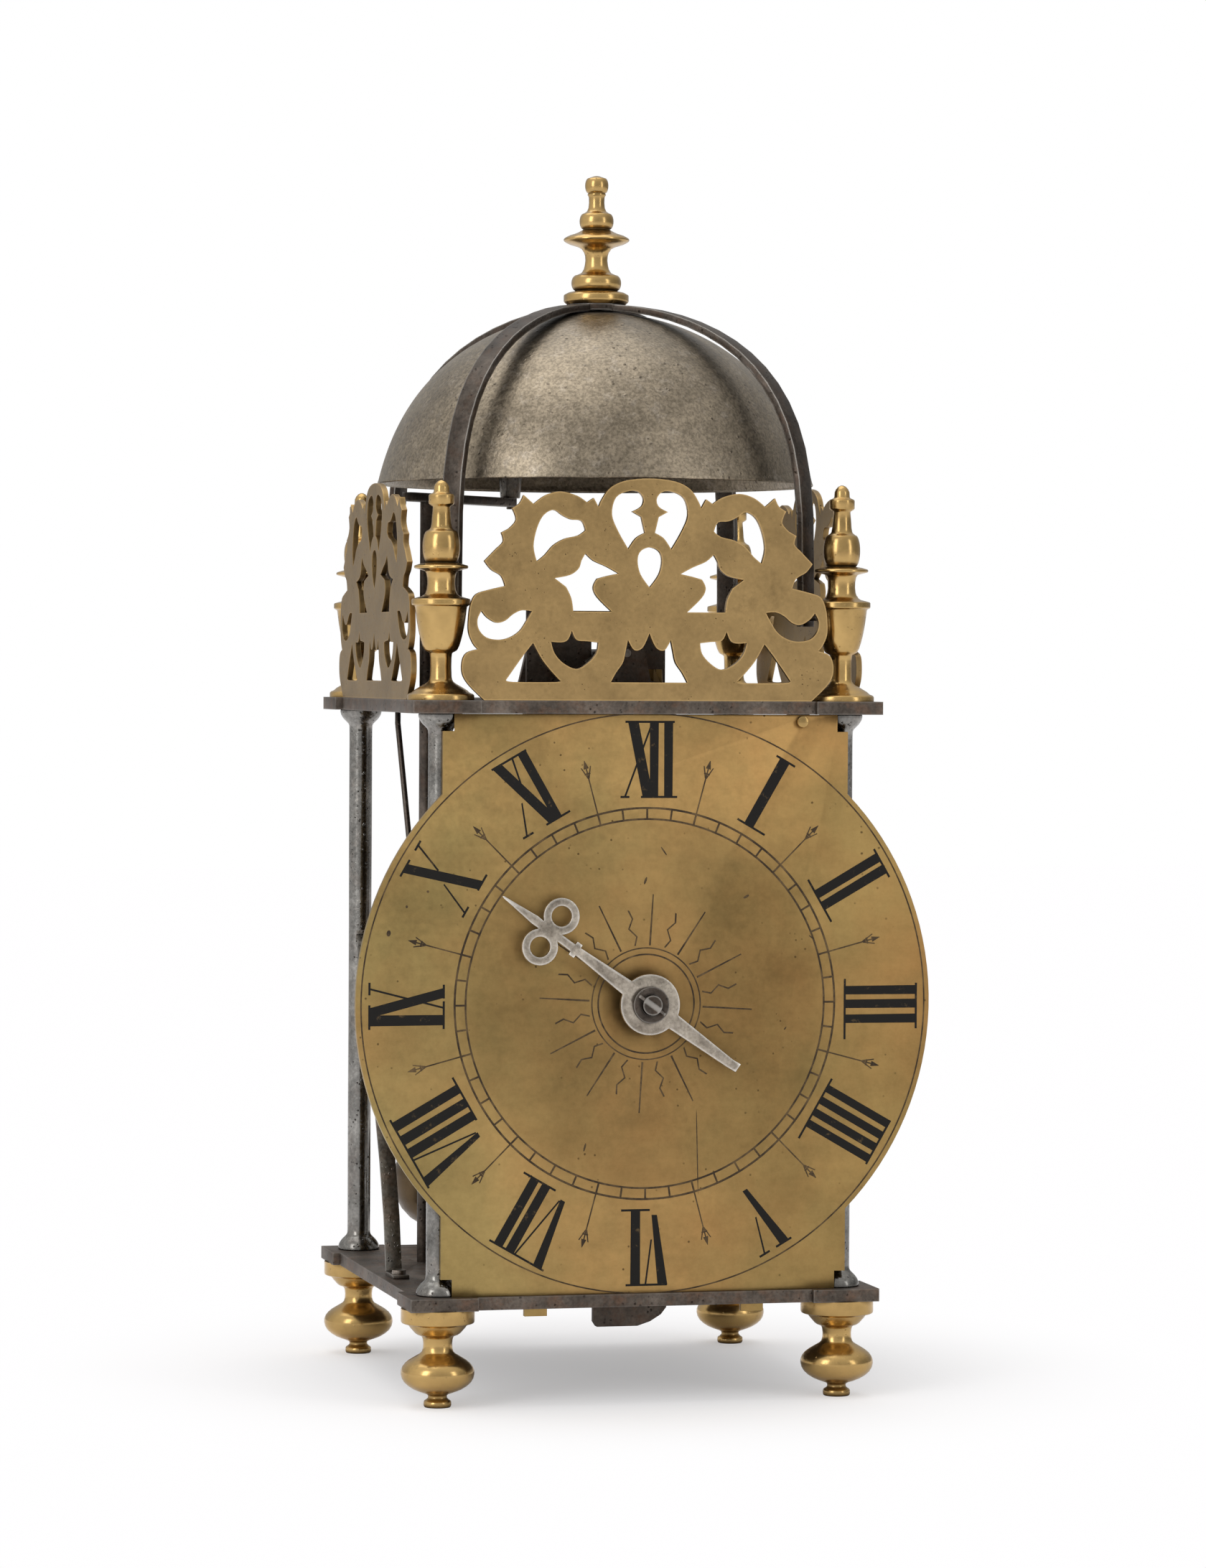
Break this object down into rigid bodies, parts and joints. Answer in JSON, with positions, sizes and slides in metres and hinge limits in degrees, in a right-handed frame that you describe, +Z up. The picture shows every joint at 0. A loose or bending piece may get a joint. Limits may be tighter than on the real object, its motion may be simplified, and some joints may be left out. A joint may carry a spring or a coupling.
{
  "type": "clock",
  "caption": "Antique lantern clock: brass dial with one hand, pierced frets, turned feet and finials, a bell on a strap, and a weight-driven verge movement in an iron frame.",
  "frame": {"origin": "bottom centre of the bounding box, between the feet", "axes": "+X to the right of someone facing the dial, +Y from the dial back to the pendulum, +Z up"},
  "size_m": [0.18, 0.1763, 0.38],
  "materials": {
    "iron_plate": "brushed",
    "iron_pillar": "satin",
    "iron_strap": "satin",
    "movement_iron": "satin",
    "turned_brass": "polished",
    "fret_brass": "satin",
    "dial_brass": "brushed",
    "wheel_brass": "satin",
    "pulley_brass": "satin",
    "bell_metal": "satin",
    "hand_steel": "satin",
    "arbor_steel": "satin",
    "screw_steel": "satin"
  },
  "bodies": {
    "frame": {"bottom_plate": "iron_plate", "top_plate": "iron_plate", "pillar_fl": "iron_pillar", "pillar_fr": "iron_pillar", "pillar_rl": "iron_pillar", "pillar_rr": "iron_pillar", "foot_fl": "turned_brass", "foot_fr": "turned_brass", "foot_rl": "turned_brass", "foot_rr": "turned_brass", "corner_finial_fl": "turned_brass", "corner_finial_fr": "turned_brass", "corner_finial_rl": "turned_brass", "corner_finial_rr": "turned_brass", "front_fret": "fret_brass", "left_fret": "fret_brass", "right_fret": "fret_brass", "fret_screws": "screw_steel", "bell": "bell_metal", "bell_strap": "iron_strap", "top_finial": "turned_brass", "bell_nut": "iron_strap", "dial_plate": "dial_brass", "dial_stud": "turned_brass", "front_bar": "movement_iron", "middle_bar": "movement_iron", "rear_bar": "movement_iron", "bar_wedges": "movement_iron", "crown_potence": "movement_iron", "verge_front_cock": "movement_iron", "verge_bridge": "movement_iron", "verge_back_cock": "movement_iron", "cock_screws": "screw_steel", "hammer_spring": "arbor_steel", "hammer_stop": "iron_strap", "spring_screw": "screw_steel"},
    "hand_work": {"hour_wheel": "wheel_brass", "hour_hand": "hand_steel", "hand_collet": "iron_strap", "lifting_pins": "arbor_steel"},
    "going_great": {"going_great_wheel": "wheel_brass"},
    "going_drum": {"going_pulley": "pulley_brass"},
    "going_second": {"going_second_wheel": "wheel_brass"},
    "contrate": {"contrate_wheel": "wheel_brass"},
    "crown": {"crown_wheel": "wheel_brass"},
    "pendulum": {"verge": "arbor_steel", "pendulum_rod": "arbor_steel", "pendulum_bob": "pulley_brass", "rating_nut": "turned_brass"},
    "strike_great": {"strike_great_wheel": "wheel_brass"},
    "strike_drum": {"strike_pulley": "pulley_brass"},
    "hoop": {"hoop_wheel": "wheel_brass", "strike_hoop": "wheel_brass"},
    "warning": {"warning_wheel": "wheel_brass"},
    "fly_arbor": {"fly": "wheel_brass"},
    "count": {"count_wheel": "wheel_brass"},
    "lifting": {"lifting_piece": "movement_iron"},
    "locking": {"locking_piece": "movement_iron"},
    "hammer_arbor": {"hammer": "iron_strap", "hammer_head": "arbor_steel"}
  },
  "joints": [
    {"name": "going_great_turn", "type": "hinge", "parent": "frame", "child": "going_great", "pos_m": [0, -0.05115, 0.0832], "axis": [0, 1, 0], "continuous": true},
    {"name": "going_drum_turn", "type": "hinge", "parent": "going_great", "child": "going_drum", "pos_m": [0, -0.04015, 0.0832], "axis": [0, 1, 0], "continuous": true},
    {"name": "going_second_turn", "type": "hinge", "parent": "frame", "child": "going_second", "pos_m": [0, -0.02615, 0.1264], "axis": [0, 1, 0], "continuous": true},
    {"name": "contrate_turn", "type": "hinge", "parent": "frame", "child": "contrate", "pos_m": [0, -0.03715, 0.16], "axis": [0, 1, 0], "continuous": true},
    {"name": "crown_turn", "type": "hinge", "parent": "frame", "child": "crown", "pos_m": [0, -0.03365, 0.2176], "axis": [0, 0, 1], "continuous": true},
    {"name": "hand_turn", "type": "hinge", "parent": "frame", "child": "hand_work", "pos_m": [0, -0.07215, 0.1222], "axis": [0, 1, 0], "continuous": true},
    {"name": "pendulum_swing", "type": "hinge", "parent": "frame", "child": "pendulum", "pos_m": [0, 0.07185, 0.229], "axis": [0, -1, 0], "range_deg": [-3, 23.3]},
    {"name": "strike_great_turn", "type": "hinge", "parent": "frame", "child": "strike_great", "pos_m": [0, 0.03085, 0.0832], "axis": [0, 1, 0], "continuous": true},
    {"name": "strike_drum_turn", "type": "hinge", "parent": "strike_great", "child": "strike_drum", "pos_m": [0, 0.01985, 0.0832], "axis": [0, 1, 0], "continuous": true},
    {"name": "hoop_turn", "type": "hinge", "parent": "frame", "child": "hoop", "pos_m": [0, 0.00285, 0.1264], "axis": [0, 1, 0], "continuous": true},
    {"name": "warning_turn", "type": "hinge", "parent": "frame", "child": "warning", "pos_m": [0, 0.01885, 0.16], "axis": [0, 1, 0], "continuous": true},
    {"name": "fly_turn", "type": "hinge", "parent": "frame", "child": "fly_arbor", "pos_m": [0, 0.00185, 0.184], "axis": [0, 1, 0], "continuous": true},
    {"name": "count_turn", "type": "hinge", "parent": "frame", "child": "count", "pos_m": [-0.02, 0.04385, 0.11633], "axis": [0, 1, 0], "continuous": true},
    {"name": "lifting_swing", "type": "hinge", "parent": "frame", "child": "lifting", "pos_m": [0.038, -0.02015, 0.15], "axis": [0, 1, 0], "range_deg": [0, 14]},
    {"name": "locking_swing", "type": "hinge", "parent": "frame", "child": "locking", "pos_m": [0.036, 0.00485, 0.14], "axis": [0, 1, 0], "range_deg": [0, 10]},
    {"name": "hammer_swing", "type": "hinge", "parent": "frame", "child": "hammer_arbor", "pos_m": [-0.05, 0.00985, 0.034], "axis": [0, 0, 1], "range_deg": [-14, 2]}
  ],
  "couplings": [
    {"joint": "going_second_turn", "follows": "going_great_turn", "ratio": -8},
    {"joint": "contrate_turn", "follows": "going_great_turn", "ratio": 48},
    {"joint": "crown_turn", "follows": "going_great_turn", "ratio": 288},
    {"joint": "hand_turn", "follows": "going_great_turn", "ratio": -0.083333},
    {"joint": "hoop_turn", "follows": "strike_great_turn", "ratio": -6},
    {"joint": "warning_turn", "follows": "strike_great_turn", "ratio": 36},
    {"joint": "fly_turn", "follows": "strike_great_turn", "ratio": -180},
    {"joint": "count_turn", "follows": "strike_great_turn", "ratio": -0.10256}
  ]
}
